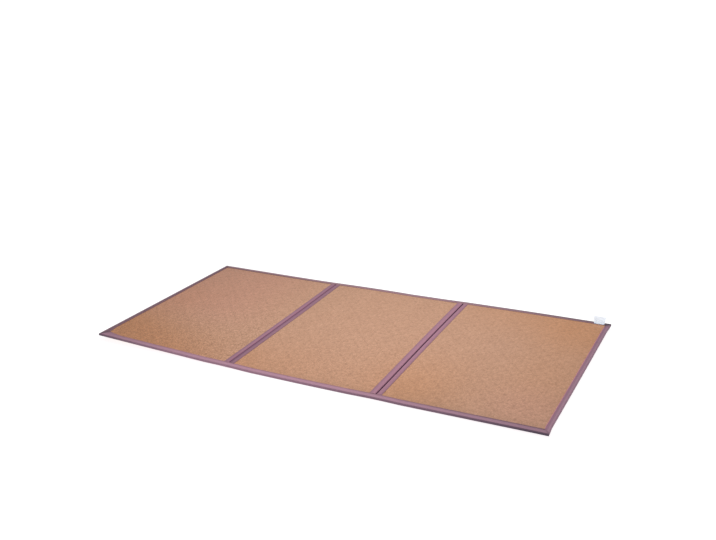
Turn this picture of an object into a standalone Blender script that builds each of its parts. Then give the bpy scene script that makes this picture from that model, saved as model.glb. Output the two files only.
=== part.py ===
# Folding woven floor mat of three panels with a sewn cloth binding, laid open on the floor.
# Metres, +Z up. The origin is the centre of the underside, +X runs along the mat to the end
# with the label, and +Y runs across it to the edge that the label is sewn to.

from math import cos, pi, radians, sin

import bmesh
import bpy

# Driving dimensions
MAT_LENGTH = 1.800
MAT_WIDTH = 0.880
MAT_THICKNESS = 0.010
PANEL_COUNT = 3
FOLD_GAP = 0.005        # between the outer faces of two panels' bindings
CLOTH = 0.0010          # binding and hinge cloth
SEAT = 0.0003           # clearance between touching pieces
EDGE_ROUND = 0.003      # outer radius where the binding turns over the edge
WEAVE_STEP = 0.0006     # the weave lies this much lower than the top of the binding

# How far each binding reaches in from its outer face, on top and below
FLAP = {
    "front": 0.024,
    "back": 0.022,
    "left_end": 0.021,
    "right_end": 0.019,
    "fold_1_left": 0.018,
    "fold_1_right": 0.020,
    "fold_2_left": 0.022,
    "fold_2_right": 0.0195,
}

# How far the corners and folds stand off the floor, because the mat was stored folded
RISE_FRONT_LEFT = 0.022
RISE_FRONT_RIGHT = 0.0065
RISE_BACK_RIGHT = 0.009
RISE_FOLD_2_BACK = 0.0057
RISE_FOLD_2_START = 0.6      # share of the middle panel that stays flat before fold 2
ARCH_FRONT = {1: 0.0028, 2: 0.0020}   # rise of each fold's front end
ARCH_REACH = 0.120                    # the arch dies out this far from the fold

# Hinge cloth: top of its web at each fold, and the height of its two legs
HINGE_WEB_TOP = {1: 0.0075, 2: 0.0023}
HINGE_LEG = {1: -0.0055, 2: 0.0050}   # below the web at fold 1, above it at fold 2

# Sewn-in label, plain
LABEL_WIDTH = 0.044
LABEL_END = 0.0205           # from the mat's right end
LABEL_THICKNESS = 0.0010
LABEL_ROOT = 0.0025          # flat part, held in the binding's seam
LABEL_BEND_RADIUS = 0.008
LABEL_LEAN = 70              # degrees from the floor
LABEL_RUN = 0.020            # straight part above the bend

# Spacing of the cross sections
SECTION_X = 0.080
SECTION_Y = 0.110
ARCH_SECTIONS = 3
ROUND_STEPS = 3
INNER_ROUND_STEPS = 2
LABEL_STEPS = 6

# Worked out from the sizes above
PANEL_LENGTH = MAT_LENGTH / PANEL_COUNT
LEFT = -MAT_LENGTH / 2
RIGHT = MAT_LENGTH / 2
FRONT = -MAT_WIDTH / 2
BACK = MAT_WIDTH / 2
FOLD_X = {fold: LEFT + fold * PANEL_LENGTH for fold in (1, 2)}
RIM = CLOTH + SEAT           # from a binding's outer surface to the panel inside it
ARCH_STEP = ARCH_REACH / ARCH_SECTIONS

COLOURS = {
    "weave": ((190, 147, 119), 0.75),
    "binding": ((166, 126, 138), 0.85),
    "hinge_cloth": ((98, 62, 88), 0.90),
    "label_cloth": ((236, 238, 243), 0.60),
}


def clear_scene():
    for obj in list(bpy.data.objects):
        bpy.data.objects.remove(obj, do_unlink=True)


def linear(channel):
    """Blender's linear value of one 0 to 255 display value."""
    share = channel / 255
    return share / 12.92 if share <= 0.04045 else ((share + 0.055) / 1.055) ** 2.4


def make_material(name):
    colour, roughness = COLOURS[name]
    material = bpy.data.materials.new(name)
    material.use_nodes = True
    shader = material.node_tree.nodes["Principled BSDF"]
    shader.inputs["Base Color"].default_value = (*(linear(c) for c in colour), 1)
    shader.inputs["Roughness"].default_value = roughness
    shader.inputs["Metallic"].default_value = 0
    return material


def clamp(value):
    return min(max(value, 0.0), 1.0)


def rise(x, y):
    """How far the mat stands off the floor at a place seen from above."""
    panels = (x - LEFT) / PANEL_LENGTH
    back_share = clamp((y - FRONT) / MAT_WIDTH)
    front_share = 1 - back_share
    left_end = clamp(1 - panels)
    right_end = clamp(panels - 2)
    if panels <= 2:
        near_fold_2 = clamp((panels - 1 - RISE_FOLD_2_START) / (1 - RISE_FOLD_2_START))
    else:
        near_fold_2 = clamp(3 - panels)
    height = RISE_FRONT_LEFT * left_end * front_share
    height += RISE_FRONT_RIGHT * right_end * front_share
    height += RISE_BACK_RIGHT * right_end * back_share
    height += RISE_FOLD_2_BACK * near_fold_2 * back_share
    for fold, arch in ARCH_FRONT.items():
        near = clamp(1 - abs(x - FOLD_X[fold]) / ARCH_REACH)
        height += arch * near * near * (3 - 2 * near) * front_share
    return height


def finish(bm, name, material, smooth_angle=35):
    """Lifts the piece with the mat's own unevenness and makes the named object."""
    for vert in bm.verts:
        vert.co.z += rise(vert.co.x, vert.co.y)
    bmesh.ops.recalc_face_normals(bm, faces=bm.faces)
    mesh = bpy.data.meshes.new(name)
    bm.to_mesh(mesh)
    bm.free()
    mesh.materials.append(material)
    mesh.shade_smooth()
    mesh.set_sharp_from_angle(angle=radians(smooth_angle))
    obj = bpy.data.objects.new(name, mesh)
    bpy.context.scene.collection.objects.link(obj)


def even_places(start, end, spacing):
    """Places between two ends, both left out, no further apart than the spacing."""
    count = max(1, round(abs(end - start) / spacing))
    return [start + (end - start) * step / count for step in range(1, count)]


def panel_sides(number):
    """Outer face and flap of a panel's left and right binding."""
    left_name = "left_end" if number == 1 else f"fold_{number - 1}_right"
    right_name = "right_end" if number == PANEL_COUNT else f"fold_{number}_left"
    left_face = LEFT if number == 1 else FOLD_X[number - 1] + FOLD_GAP / 2
    right_face = RIGHT if number == PANEL_COUNT else FOLD_X[number] - FOLD_GAP / 2
    return left_face, FLAP[left_name], right_face, FLAP[right_name]


def panel_window(number):
    """The open field of weave that a panel shows inside its bindings: x and y limits."""
    left_face, left_flap, right_face, right_flap = panel_sides(number)
    x_limits = (left_face + left_flap + SEAT, right_face - right_flap - SEAT)
    y_limits = (FRONT + FLAP["front"] + SEAT, BACK - FLAP["back"] - SEAT)
    return x_limits, y_limits


def inner_sections_x(number):
    """Cross sections of a panel inside its window, closer together near a fold."""
    (low, high), _ = panel_window(number)
    start, end = low, high
    places = []
    if number > 1:
        near = [FOLD_X[number - 1] + ARCH_STEP * step for step in range(1, ARCH_SECTIONS + 1)]
        places += near
        start = near[-1]
    if number < PANEL_COUNT:
        near = [FOLD_X[number] - ARCH_STEP * step for step in range(1, ARCH_SECTIONS + 1)]
        places += near
        end = near[-1]
    if number == 2:
        flat_end = FOLD_X[1] + RISE_FOLD_2_START * PANEL_LENGTH
        places.append(flat_end)
        places += even_places(flat_end, end, SECTION_X)
        end = flat_end
    places += even_places(start, end, SECTION_X)
    return sorted(places)


def sections_y():
    """Cross sections across the mat, between the long bindings' flaps."""
    _, (low, high) = panel_window(1)
    return even_places(low, high, SECTION_Y)


def arc(centre_d, centre_z, radius, start, end, steps):
    """Points of a round corner as (distance in from the outer face, height)."""
    points = []
    for step in range(steps + 1):
        angle = start + (end - start) * step / steps
        points.append((centre_d - radius * cos(angle), centre_z + radius * sin(angle)))
    return points


def binding_profile(flap):
    """Cross section of cloth that wraps an edge: two flaps and a round outer face."""
    low, high = EDGE_ROUND, MAT_THICKNESS - EDGE_ROUND
    inner = EDGE_ROUND - CLOTH
    outline = [(flap, 0.0)]
    outline += arc(EDGE_ROUND, low, EDGE_ROUND, -pi / 2, 0, ROUND_STEPS)
    outline += arc(EDGE_ROUND, high, EDGE_ROUND, 0, pi / 2, ROUND_STEPS)
    outline += [(flap, MAT_THICKNESS), (flap, MAT_THICKNESS - CLOTH)]
    outline += arc(EDGE_ROUND, high, inner, pi / 2, 0, INNER_ROUND_STEPS)
    outline += arc(EDGE_ROUND, low, inner, 0, -pi / 2, INNER_ROUND_STEPS)
    outline.append((flap, CLOTH))
    return outline


def sweep(rings):
    """A closed solid drawn through rings of points, with a face on each end."""
    bm = bmesh.new()
    face = bm.faces.new([bm.verts.new(point) for point in rings[0]])
    for step, ring in enumerate(rings[1:]):
        drawn_from = face
        corners = [tuple(vert.co) for vert in face.verts]
        result = bmesh.ops.extrude_face_region(bm, geom=[face])
        face = next(item for item in result["geom"] if isinstance(item, bmesh.types.BMFace))
        place_of = dict(zip(corners, ring))
        corners_of = {tuple(vert.co): vert for vert in face.verts}
        # the new ring keeps the order of the ring that it was drawn from
        for corner in corners:
            corners_of[corner].co = place_of[corner]
        if step > 0:
            bmesh.ops.delete(bm, geom=[drawn_from], context="FACES_ONLY")
    return bm


def long_binding_sections():
    """Where the long bindings have a cross section, ends left out."""
    places = list(FOLD_X.values())
    for number in range(1, PANEL_COUNT + 1):
        places += panel_window(number)[0]
        places += inner_sections_x(number)
    return sorted(places)


def make_long_binding(side, material):
    """A binding along the whole front or back edge, mitred into the end bindings."""
    outer, inward = (FRONT, 1) if side == "front" else (BACK, -1)
    flap = FLAP[side]
    profile = binding_profile(flap)
    left_mitre = FLAP["left_end"] / flap
    right_mitre = FLAP["right_end"] / flap
    rings = [[(LEFT + SEAT + d * left_mitre, outer + inward * d, z) for d, z in profile]]
    for x in long_binding_sections():
        rings.append([(x, outer + inward * d, z) for d, z in profile])
    rings.append([(RIGHT - SEAT - d * right_mitre, outer + inward * d, z) for d, z in profile])
    finish(sweep(rings), f"binding_{side}", material)


def make_end_binding(side, material):
    """A binding across one short end, mitred into the long bindings."""
    outer, inward = (LEFT, 1) if side == "left_end" else (RIGHT, -1)
    flap = FLAP[side]
    profile = binding_profile(flap)
    front_mitre = FLAP["front"] / flap
    back_mitre = FLAP["back"] / flap
    _, (low, high) = panel_window(1)
    rings = [[(outer + inward * d, FRONT + d * front_mitre, z) for d, z in profile]]
    for y in [low, *sections_y(), high]:
        rings.append([(outer + inward * d, y, z) for d, z in profile])
    rings.append([(outer + inward * d, BACK - d * back_mitre, z) for d, z in profile])
    finish(sweep(rings), f"binding_{side}", material)


def make_fold_binding(fold, side, material):
    """The binding of one panel's edge at a fold, butted against the long bindings."""
    inward = -1 if side == "left" else 1
    outer = FOLD_X[fold] + inward * FOLD_GAP / 2
    profile = binding_profile(FLAP[f"fold_{fold}_{side}"])
    _, (low, high) = panel_window(1)
    rings = []
    for y in [low, *sections_y(), high]:
        rings.append([(outer + inward * d, y, z) for d, z in profile])
    finish(sweep(rings), f"fold_{fold}_binding_{side}", material)


def make_hinge(fold, material):
    """Hinge cloth in the gap of a fold: a web and two legs sewn to the bindings' faces."""
    half = FOLD_GAP / 2 - SEAT
    inner = half - CLOTH
    top = HINGE_WEB_TOP[fold]
    leg = HINGE_LEG[fold]
    if leg < 0:
        near, far, end = top, top - CLOTH, top + leg
    else:
        near, far, end = top - CLOTH, top, top + leg
    profile = [(-half, near), (half, near), (half, end), (inner, end)]
    profile += [(inner, far), (-inner, far), (-inner, end), (-half, end)]
    _, (low, high) = panel_window(1)
    rings = []
    for y in [FRONT + EDGE_ROUND, low, *sections_y(), high, BACK - EDGE_ROUND]:
        rings.append([(FOLD_X[fold] + x, y, z) for x, z in profile])
    finish(sweep(rings), f"hinge_cloth_{fold}", material)


def make_panel(number, name, material):
    """One woven panel: a thin rim inside the bindings and the thicker field between them."""
    left_face, _, right_face, _ = panel_sides(number)
    (field_left, field_right), (field_front, field_back) = panel_window(number)
    low = (left_face + RIM, FRONT + RIM, RIM)
    high = (right_face - RIM, BACK - RIM, MAT_THICKNESS - RIM)
    bm = bmesh.new()
    bmesh.ops.create_cube(bm, size=1)
    for vert in bm.verts:
        for axis in range(3):
            middle = (low[axis] + high[axis]) / 2
            vert.co[axis] = middle + vert.co[axis] * (high[axis] - low[axis])
    outline = [edge for edge in bm.edges if abs(edge.verts[0].co.z - edge.verts[1].co.z) < SEAT]
    bmesh.ops.bevel(bm, geom=outline, offset=EDGE_ROUND - RIM, segments=1, affect="EDGES")
    cuts = [((x, 0, 0), (1, 0, 0)) for x in (field_left, *inner_sections_x(number), field_right)]
    cuts += [((0, y, 0), (0, 1, 0)) for y in (field_front, *sections_y(), field_back)]
    for place, normal in cuts:
        everything = bm.verts[:] + bm.edges[:] + bm.faces[:]
        bmesh.ops.bisect_plane(bm, geom=everything, plane_co=place, plane_no=normal, dist=1e-6)
    bm.normal_update()
    for facing, thicker in ((1, RIM - WEAVE_STEP), (-1, RIM)):
        field = []
        for face in bm.faces:
            centre = face.calc_center_median()
            inside_x = field_left < centre.x < field_right
            inside_y = field_front < centre.y < field_back
            if facing * face.normal.z > 0.9 and inside_x and inside_y:
                field.append(face)
        result = bmesh.ops.extrude_face_region(bm, geom=field)
        moved = [item for item in result["geom"] if isinstance(item, bmesh.types.BMVert)]
        bmesh.ops.delete(bm, geom=field, context="FACES")
        bmesh.ops.translate(bm, verts=moved, vec=(0, 0, facing * thicker))
        bm.normal_update()
    finish(bm, name, material, smooth_angle=20)


def make_label(material):
    """A small stiff label, rooted where the back binding meets the weave and curling up."""
    centre_line = [(0.0, 0.0, 0.0), (LABEL_ROOT, 0.0, 0.0)]
    for step in range(1, LABEL_STEPS + 1):
        turn = radians(LABEL_LEAN) * step / LABEL_STEPS
        y = LABEL_ROOT + LABEL_BEND_RADIUS * sin(turn)
        z = LABEL_BEND_RADIUS * (1 - cos(turn))
        centre_line.append((y, z, turn))
    y, z, turn = centre_line[-1]
    centre_line.append((y + LABEL_RUN * cos(turn), z + LABEL_RUN * sin(turn), turn))
    root_y = BACK - FLAP["back"]
    root_z = MAT_THICKNESS + SEAT + LABEL_THICKNESS / 2
    right = RIGHT - LABEL_END
    half = LABEL_THICKNESS / 2
    rings = []
    for y, z, turn in centre_line:
        below = (root_y + y + half * sin(turn), root_z + z - half * cos(turn))
        above = (root_y + y - half * sin(turn), root_z + z + half * cos(turn))
        left = right - LABEL_WIDTH
        rings.append([(left, *below), (right, *below), (right, *above), (left, *above)])
    finish(sweep(rings), "label", material)


def main():
    clear_scene()
    weave = make_material("weave")
    binding = make_material("binding")
    hinge_cloth = make_material("hinge_cloth")
    label_cloth = make_material("label_cloth")
    for number, name in enumerate(("panel_left", "panel_middle", "panel_right"), start=1):
        make_panel(number, name, weave)
    for side in ("front", "back"):
        make_long_binding(side, binding)
    for side in ("left_end", "right_end"):
        make_end_binding(side, binding)
    for fold in FOLD_X:
        for side in ("left", "right"):
            make_fold_binding(fold, side, binding)
        make_hinge(fold, hinge_cloth)
    make_label(label_cloth)


main()
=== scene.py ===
# Folding woven floor mat: the weave, sewn bindings, stitches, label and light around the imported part.
# Metres, +Z up, in the part's own frame.

from math import cos, pi, radians, sin

import bmesh
import bpy
import numpy as np
from mathutils import Matrix


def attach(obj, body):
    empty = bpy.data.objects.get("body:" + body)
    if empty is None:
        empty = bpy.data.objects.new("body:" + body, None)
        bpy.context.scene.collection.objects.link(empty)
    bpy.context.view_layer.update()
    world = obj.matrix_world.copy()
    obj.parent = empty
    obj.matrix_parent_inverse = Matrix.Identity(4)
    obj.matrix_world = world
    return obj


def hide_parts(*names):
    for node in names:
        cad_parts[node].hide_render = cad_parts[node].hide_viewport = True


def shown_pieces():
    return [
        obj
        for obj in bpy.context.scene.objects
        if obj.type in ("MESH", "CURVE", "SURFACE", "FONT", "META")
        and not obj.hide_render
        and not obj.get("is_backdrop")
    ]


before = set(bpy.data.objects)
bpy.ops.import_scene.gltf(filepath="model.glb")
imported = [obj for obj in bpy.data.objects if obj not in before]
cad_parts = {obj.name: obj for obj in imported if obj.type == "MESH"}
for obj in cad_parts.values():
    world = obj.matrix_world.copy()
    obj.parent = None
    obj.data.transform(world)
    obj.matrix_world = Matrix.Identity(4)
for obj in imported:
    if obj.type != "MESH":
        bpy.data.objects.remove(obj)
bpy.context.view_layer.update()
print("frame loaded:", len(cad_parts), "nodes")

mat = {
    "left": -0.900,
    "right": 0.900,
    "front": -0.440,
    "back": 0.440,
    "panels": 3,
    "thick": 0.010,
    "foldGap": 0.005,   # between the bindings of two panels
    "cloth": 0.0010,
    "seat": 0.0003,     # clearance between touching pieces
    "edgeRound": 0.003,
}

# how far each binding reaches in over the weave
flaps = {
    "front": 0.024,
    "back": 0.022,
    "leftEnd": 0.021,
    "rightEnd": 0.019,
    "fold1Left": 0.018,
    "fold1Right": 0.020,
    "fold2Left": 0.022,
    "fold2Right": 0.0195,
}

# corners and folds that stand off the floor, as in the part
rises = {
    "frontLeft": 0.022,
    "frontRight": 0.0065,
    "backRight": 0.009,
    "fold2Back": 0.0057,
    "fold2Start": 0.6,          # share of the middle panel that stays flat before fold 2
    "arches": {1: 0.0028, 2: 0.0020},
    "archReach": 0.120,
}

# small shifts of a mat that was stored folded: middle, reach and shift, each along, across and up
slack = [
    ((0.30, 0.12), (0.34, 0.50), (-0.0022, 0, 0)),
    ((-0.30, 0.40), (0.30, 0.34), (-0.0018, 0, 0)),
    ((-0.06, 0.46), (0.36, 0.32), (0, 0.0008, 0.0029)),
    ((0.60, 0.46), (0.42, 0.30), (0, 0.0008, 0.0013)),
    ((-0.90, 0.40), (0.30, 0.70), (-0.0016, 0, 0)),
    ((0.90, 0.05), (0.22, 0.75), (0.0015, 0, 0)),
    ((0.90, 0.43), (0.06, 0.06), (0.0024, 0.0010, 0)),
    ((0.90, -0.44), (0.05, 0.05), (0.0032, -0.0006, 0)),
    ((-0.44, -0.46), (0.26, 0.24), (0, 0, 0.0008)),
    ((-0.50, 0.46), (0.42, 0.30), (0, -0.0013, 0)),
    ((0.02, -0.46), (0.20, 0.20), (0, -0.0010, 0)),
]

panelLength = (mat["right"] - mat["left"]) / mat["panels"]
matWidth = mat["back"] - mat["front"]
foldX = {fold: mat["left"] + fold * panelLength for fold in (1, 2)}


def rise(x, y):
    panels = (x - mat["left"]) / panelLength
    back = np.clip((y - mat["front"]) / matWidth, 0, 1)
    front = 1 - back
    start = rises["fold2Start"]
    before = np.clip((panels - 1 - start) / (1 - start), 0, 1)
    nearFold2 = np.where(panels <= 2, before, np.clip(3 - panels, 0, 1))
    height = rises["frontLeft"] * np.clip(1 - panels, 0, 1) * front
    height = height + rises["frontRight"] * np.clip(panels - 2, 0, 1) * front
    height = height + rises["backRight"] * np.clip(panels - 2, 0, 1) * back
    height = height + rises["fold2Back"] * nearFold2 * back
    for fold, arch in rises["arches"].items():
        near = np.clip(1 - abs(x - foldX[fold]) / rises["archReach"], 0, 1)
        height = height + arch * near**2 * (3 - 2 * near) * front
    return height


def laid(x, y, height):
    # a point of the flat mat, as the mat lies in the photo
    places = np.stack([x, y, height + rise(x, y)], 1)
    for middle, reach, shift in slack:
        apart = ((x - middle[0]) / reach[0]) ** 2 + ((y - middle[1]) / reach[1]) ** 2
        near = np.clip(1 - apart, 0, 1) ** 2
        places += near[:, None] * np.array(shift)
    return places


# small tools for meshes

def points(obj):
    flat = np.zeros(len(obj.data.vertices) * 3)
    obj.data.vertices.foreach_get("co", flat)
    return flat.reshape(-1, 3)


def setPoints(obj, places):
    obj.data.vertices.foreach_set("co", places.astype(np.float32).ravel())
    obj.data.update()


def newPrimitive(add, name, **settings):
    bpy.ops.object.select_all(action="DESELECT")
    add(**settings)
    obj = bpy.context.object
    obj.name = name
    obj.data.name = name
    bpy.ops.object.transform_apply(location=True, rotation=True, scale=True)
    return obj


def newRod(name, sides, radius, length):
    # along X
    add = bpy.ops.mesh.primitive_cylinder_add
    size = {"vertices": sides, "radius": radius, "depth": length}
    return newPrimitive(add, name, **size, end_fill_type="NGON", rotation=(0, pi / 2, 0))


def editMode(on):
    bpy.ops.object.mode_set(mode="EDIT" if on else "OBJECT")


def select(obj, kind, wanted):
    # in edit mode
    bpy.ops.mesh.select_mode(type=kind)
    bpy.ops.mesh.select_all(action="DESELECT")
    bm = bmesh.from_edit_mesh(obj.data)
    for part in bm.edges if kind == "EDGE" else bm.faces:
        part.select_set(wanted(part))
    bmesh.update_edit_mesh(obj.data)


def cutAlong(obj, axis, cuts, above=-9):
    # in edit mode: cuts the edges that run along an axis
    def wanted(edge):
        a, b = (end.co for end in edge.verts)
        return min(a.z, b.z) > above and all(abs(b[i] - a[i]) < 1e-5 for i in range(3) if i != axis)

    select(obj, "EDGE", wanted)
    bpy.ops.mesh.subdivide(number_cuts=cuts)


def smooth(share):
    share = np.clip(share, 0, 1)
    return share * share * (3 - 2 * share)


def grown(value, start, length):
    return smooth((value - start) / length)


def wander(places, spacing, seed):
    # smooth uneven line from -1 to 1 along a seam, the same on each run
    rng = np.random.default_rng(seed)
    total = np.zeros_like(places)
    for _ in range(6):
        wave = 2 * pi / (spacing * rng.uniform(0.6, 2.2))
        total += np.sin(places * wave + rng.uniform(0, 2 * pi))
    return total / 3.2


def faceOut():
    # in edit mode
    bpy.ops.mesh.select_all(action="SELECT")
    bpy.ops.mesh.normals_make_consistent(inside=False)


def applyModifier(obj, modifier):
    bpy.context.view_layer.objects.active = obj
    bpy.ops.object.modifier_apply(modifier=modifier.name)


def addLayer(obj, name, *columns):
    # a number for each point, or a place from two or three
    kind, field = ("FLOAT", "value") if len(columns) == 1 else ("FLOAT_VECTOR", "vector")
    if len(columns) == 2:
        columns = (*columns, np.zeros_like(columns[0]))
    layer = obj.data.attributes.new(name, kind, "POINT")
    layer.data.foreach_set(field, np.stack(columns, 1).astype(np.float32).ravel())


def finishPiece(obj, material, nodes=(), angle=40):
    obj.data.materials.clear()
    obj.data.materials.append(material)
    bpy.ops.object.select_all(action="DESELECT")
    obj.select_set(True)
    bpy.context.view_layer.objects.active = obj
    bpy.ops.object.shade_smooth_by_angle(angle=radians(angle))
    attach(obj, "root")
    if nodes:
        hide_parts(*nodes)


# small tools for materials

def feed(tree, socket, value):
    if isinstance(value, bpy.types.NodeSocket):
        tree.links.new(value, socket)
    else:
        socket.default_value = value


def maths(tree, operation, *values, clamp=False):
    node = tree.nodes.new("ShaderNodeMath")
    node.operation = operation
    node.use_clamp = clamp
    for socket, value in zip(node.inputs, values):
        feed(tree, socket, value)
    return node.outputs[0]


def minus(tree, first, second):
    return maths(tree, "SUBTRACT", first, second)


def times(tree, first, second):
    return maths(tree, "MULTIPLY", first, second)


def plus(tree, base, value, factor, clamp=False):
    # base + value * factor
    return maths(tree, "ADD", base, times(tree, value, factor), clamp=clamp)


def ramp(tree, value, low, high):
    # 0 below low, 1 above high, smooth between
    node = tree.nodes.new("ShaderNodeMapRange")
    node.interpolation_type = "SMOOTHSTEP"
    feed(tree, node.inputs["Value"], value)
    node.inputs["From Min"].default_value = low
    node.inputs["From Max"].default_value = high
    return node.outputs["Result"]


def scaled(tree, vector, factors):
    node = tree.nodes.new("ShaderNodeVectorMath")
    node.operation = "MULTIPLY"
    feed(tree, node.inputs[0], vector)
    node.inputs[1].default_value = factors
    return node.outputs[0]


def noise(tree, vector, scale, detail=2.0):
    node = tree.nodes.new("ShaderNodeTexNoise")
    feed(tree, node.inputs["Vector"], vector)
    node.inputs["Scale"].default_value = scale
    node.inputs["Detail"].default_value = detail
    return node.outputs["Fac"]


def randomTone(tree, value):
    node = tree.nodes.new("ShaderNodeTexWhiteNoise")
    node.noise_dimensions = "1D"
    feed(tree, node.inputs["W"], value)
    return node.outputs["Value"]


def blended(tree, parts):
    # values around 0.5, each by its weight, added to one around 0.5
    total = 0.5 - 0.5 * sum(weight for _, weight in parts)
    for value, weight in parts:
        total = plus(tree, total, value, weight)
    return total


def mixColour(tree, share, first, second, blend="MIX"):
    node = tree.nodes.new("ShaderNodeMix")
    node.data_type = "RGBA"
    node.blend_type = blend
    feed(tree, node.inputs[0], share)
    feed(tree, node.inputs[6], first)
    feed(tree, node.inputs[7], second)
    return node.outputs[2]


def shifted(colour, factor):
    return (*(min(part * factor, 1) for part in colour[:3]), 1)


def newGroup(name, inputs, outputs):
    group = bpy.data.node_groups.new(name, "ShaderNodeTree")
    for label, kind in inputs:
        group.interface.new_socket(label, in_out="INPUT", socket_type=kind)
    for label in outputs:
        group.interface.new_socket(label, in_out="OUTPUT", socket_type="NodeSocketFloat")
    entry = group.nodes.new("NodeGroupInput")
    ending = group.nodes.new("NodeGroupOutput")
    return group, entry.outputs, ending.inputs


def useGroup(tree, group, **values):
    node = tree.nodes.new("ShaderNodeGroup")
    node.node_tree = group
    for label, value in values.items():
        feed(tree, node.inputs[label], value)
    return node.outputs


def separated(tree, vector):
    node = tree.nodes.new("ShaderNodeSeparateXYZ")
    tree.links.new(vector, node.inputs[0])
    return node.outputs


def attribute(tree, name, output):
    node = tree.nodes.new("ShaderNodeAttribute")
    node.attribute_name = name
    return node.outputs[output]


def newMaterial(name):
    material = bpy.data.materials.new(name)
    material.use_nodes = True
    shader = material.node_tree.nodes["Principled BSDF"]
    return material, material.node_tree, shader


def setInputs(tree, shader, values):
    for label, value in values.items():
        feed(tree, shader.inputs[label], value)


def bump(tree, height, distance):
    node = tree.nodes.new("ShaderNodeBump")
    node.inputs["Distance"].default_value = distance
    feed(tree, node.inputs["Height"], height)
    return node.outputs["Normal"]


# shared effects

# how a strand's height changes along it and across it, as shares of the relief
twill = {"lift": 0.30, "round": 0.40, "power": 2.4}


def makeDiamondTwill():
    # flat cords both ways, over two and under two; the steps turn back along diagonals,
    # which draws the diamonds
    inputs = [("Place", "NodeSocketVector"), ("Cord", "NodeSocketFloat")]
    inputs += [("Row", "NodeSocketFloat"), ("Half", "NodeSocketFloat")]
    outputs = ["Height", "Gap", "Line", "Knot", "Tone", "Fleck", "Over"]
    group, given, out = newGroup("diamondTwill", inputs, outputs)
    split = separated(group, given["Place"])
    cells, turned, exact, rounds = [], [], [], []
    for axis, pitch in (("X", "Cord"), ("Y", "Row")):
        place = maths(group, "DIVIDE", split[axis], given[pitch])
        cell = maths(group, "FLOOR", place)
        fromMiddle = minus(group, minus(group, place, cell), 0.5)
        fromMiddle = times(group, maths(group, "ABSOLUTE", fromMiddle), 2)
        cells.append(cell)
        rounds.append(minus(group, 1, maths(group, "POWER", fromMiddle, twill["power"])))
        turned.append(maths(group, "PINGPONG", cell, given["Half"]))
        exact.append(maths(group, "PINGPONG", minus(group, place, 0.5), given["Half"]))

    def fromLine(first, second):
        total = maths(group, "ADD", first, second)
        return maths(group, "ABSOLUTE", minus(group, total, given["Half"]))

    def strand(distance, side, roundTop):
        turn = times(group, minus(group, distance, 1.5), pi / 2)
        lift = plus(group, twill["lift"], maths(group, "COSINE", turn), twill["lift"] * side)
        return plus(group, lift, roundTop, twill["round"])

    cord = strand(fromLine(turned[0], exact[1]), 1, rounds[0])
    row = strand(fromLine(exact[0], turned[1]), -1, rounds[1])
    over = maths(group, "GREATER_THAN", cord, row)
    height = maths(group, "MAXIMUM", cord, row)
    line = plus(group, 1, fromLine(*turned), -0.7, clamp=True)
    corner = plus(group, 1, maths(group, "MINIMUM", *turned), -0.6, clamp=True)
    cordTone = times(group, over, randomTone(group, cells[0]))
    rowSeed = maths(group, "ADD", cells[1], 500.5)
    rowTone = times(group, minus(group, 1, over), randomTone(group, rowSeed))
    group.links.new(height, out["Height"])
    group.links.new(ramp(group, height, 0.66, 0.42), out["Gap"])
    group.links.new(line, out["Line"])
    group.links.new(times(group, line, corner), out["Knot"])
    group.links.new(maths(group, "ADD", cordTone, rowTone), out["Tone"])
    crossing = plus(group, cells[0], cells[1], 37.31)   # a number of its own for each crossing
    group.links.new(randomTone(group, crossing), out["Fleck"])
    group.links.new(over, out["Over"])
    return group


def makePlainCloth():
    # threads over and under each other; Pitch is the width of one thread
    inputs = [("Place", "NodeSocketVector"), ("Pitch", "NodeSocketFloat")]
    group, given, out = newGroup("plainCloth", inputs, ["Height", "Tone"])
    split = separated(group, given["Place"])
    tops, counts = [], []
    for axis in ("X", "Y"):
        place = maths(group, "DIVIDE", split[axis], given["Pitch"])
        count = maths(group, "FLOOR", place)
        middle = minus(group, minus(group, place, count), 0.5)
        square = times(group, times(group, middle, middle), 4)
        tops.append(minus(group, 1, square))
        counts.append(count)
    total = maths(group, "ADD", counts[0], counts[1])
    over = maths(group, "GREATER_THAN", maths(group, "FRACT", times(group, total, 0.5)), 0.25)
    under = minus(group, 1, over)
    first = times(group, over, tops[0])
    second = times(group, under, tops[1])
    group.links.new(maths(group, "ADD", first, second), out["Height"])
    warpTone = times(group, over, randomTone(group, counts[0]))
    weftTone = times(group, under, randomTone(group, counts[1]))
    group.links.new(maths(group, "ADD", warpTone, weftTone), out["Tone"])
    return group


diamondTwill = makeDiamondTwill()
plainCloth = makePlainCloth()


# woven panels

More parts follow.
